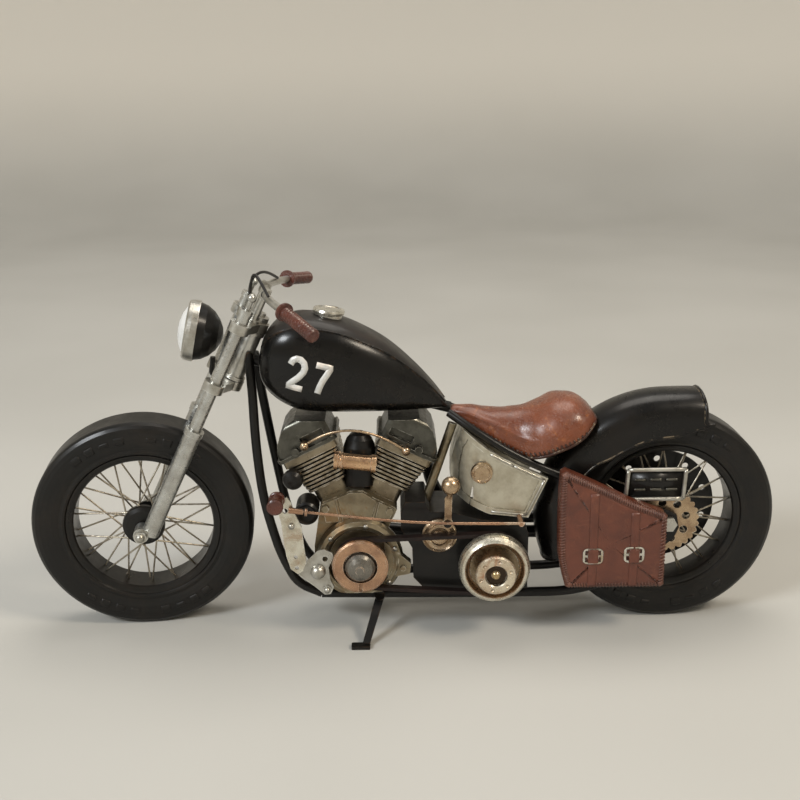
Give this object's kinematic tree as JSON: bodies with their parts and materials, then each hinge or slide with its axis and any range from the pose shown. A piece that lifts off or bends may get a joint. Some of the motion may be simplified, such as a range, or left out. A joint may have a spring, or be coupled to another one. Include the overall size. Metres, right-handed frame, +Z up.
{
  "type": "toy motorcycle",
  "caption": "Hand-made tinplate display bobber: steering fork, spoked wheels, V-twin, teardrop tank, laced leather saddle and bag, side stand.",
  "frame": {"origin": "on the ground, midway between the wheels, at the centre of the bounding box's base", "axes": "+X to the rear wheel, +Y to the bike's right side, +Z up"},
  "size_m": [0.4259, 0.1318, 0.2081],
  "materials": {
    "black_paint": "satin, rubbed",
    "cable_black": "semi-gloss",
    "tyre": "satin",
    "aged_silver": "aged",
    "chrome": "aged",
    "lens": "domed silver",
    "pewter": "aged pewter",
    "gunmetal": "satin",
    "copper": "aged copper",
    "old_brass": "aged brass",
    "spoke_steel": "aged",
    "belt_rubber": "satin",
    "seat_leather": "glazed",
    "bag_leather": "satin",
    "grip_leather": "satin"
  },
  "bodies": {
    "chassis": {"head_tube": "aged_silver", "frame_tubes": "black_paint", "lower_rails": "black_paint", "seat_post": "pewter", "rear_stays": "black_paint", "axle_plates": "black_paint", "fuel_tank": "black_paint", "fuel_cap": "chrome", "crankcase": "pewter", "timing_cover": "pewter", "front_cylinder": "pewter", "rear_cylinder": "pewter", "rocker_covers": "gunmetal", "intake_manifold": "copper", "air_cleaner": "black_paint", "generator": "old_brass", "horn": "old_brass", "engine_pulley": "copper", "primary_belt": "belt_rubber", "gearbox": "black_paint", "gearbox_cover": "old_brass", "clutch_drum": "aged_silver", "clutch_hub": "copper", "oil_tank": "aged_silver", "oil_cap": "old_brass", "clutch_rod": "copper", "foot_plate": "aged_silver", "foot_bracket": "aged_silver", "foot_peg": "grip_leather", "saddle": "seat_leather", "rear_fender": "black_paint", "saddle_bag": "bag_leather", "bag_buckles": "chrome", "number_plate": "aged_silver", "exhaust_pipes": "black_paint", "rear_axle": "aged_silver"},
    "shift_lever": {"shift_lever": "old_brass"},
    "side_stand": {"side_stand": "black_paint"},
    "steering": {"steering_stem": "aged_silver", "triple_clamps": "aged_silver", "fork_tubes": "aged_silver", "fork_sliders": "aged_silver", "front_axle": "aged_silver", "handlebar": "aged_silver", "grips": "grip_leather", "headlight_shell": "black_paint", "headlight_rim": "chrome", "headlight_lens": "lens", "throttle_cable": "cable_black", "brake_cable": "cable_black"},
    "front_wheel": {"front_tyre": "tyre", "front_rim": "black_paint", "front_spokes": "spoke_steel", "front_hub": "black_paint"},
    "rear_wheel": {"rear_tyre": "tyre", "rear_rim": "black_paint", "rear_spokes": "spoke_steel", "rear_hub": "black_paint", "rear_sprocket": "old_brass", "brake_disc": "black_paint"}
  },
  "joints": [
    {"name": "steering_turn", "type": "hinge", "parent": "chassis", "child": "steering", "pos_m": [-0.088, 0, 0.16], "axis": [0.4337, 0, 0.9011], "range_deg": [-26, 15]},
    {"name": "front_wheel_spin", "type": "hinge", "parent": "steering", "child": "front_wheel", "pos_m": [-0.15, -0.00133, 0.06299], "axis": [-0.0864, 0.9954, 0.0416], "continuous": true},
    {"name": "rear_wheel_spin", "type": "hinge", "parent": "chassis", "child": "rear_wheel", "pos_m": [0.15, 0, 0.0627], "axis": [0, 1, 0], "continuous": true},
    {"name": "side_stand_fold", "type": "hinge", "parent": "chassis", "child": "side_stand", "pos_m": [-0.0144, -0.0226, 0.0208], "axis": [0, -0.6944, 0.7196], "range_deg": [0, 95]},
    {"name": "shift_lever_rock", "type": "hinge", "parent": "chassis", "child": "shift_lever", "pos_m": [0.0242, -0.03, 0.069], "axis": [0, 1, 0], "range_deg": [-10, 12]}
  ]
}
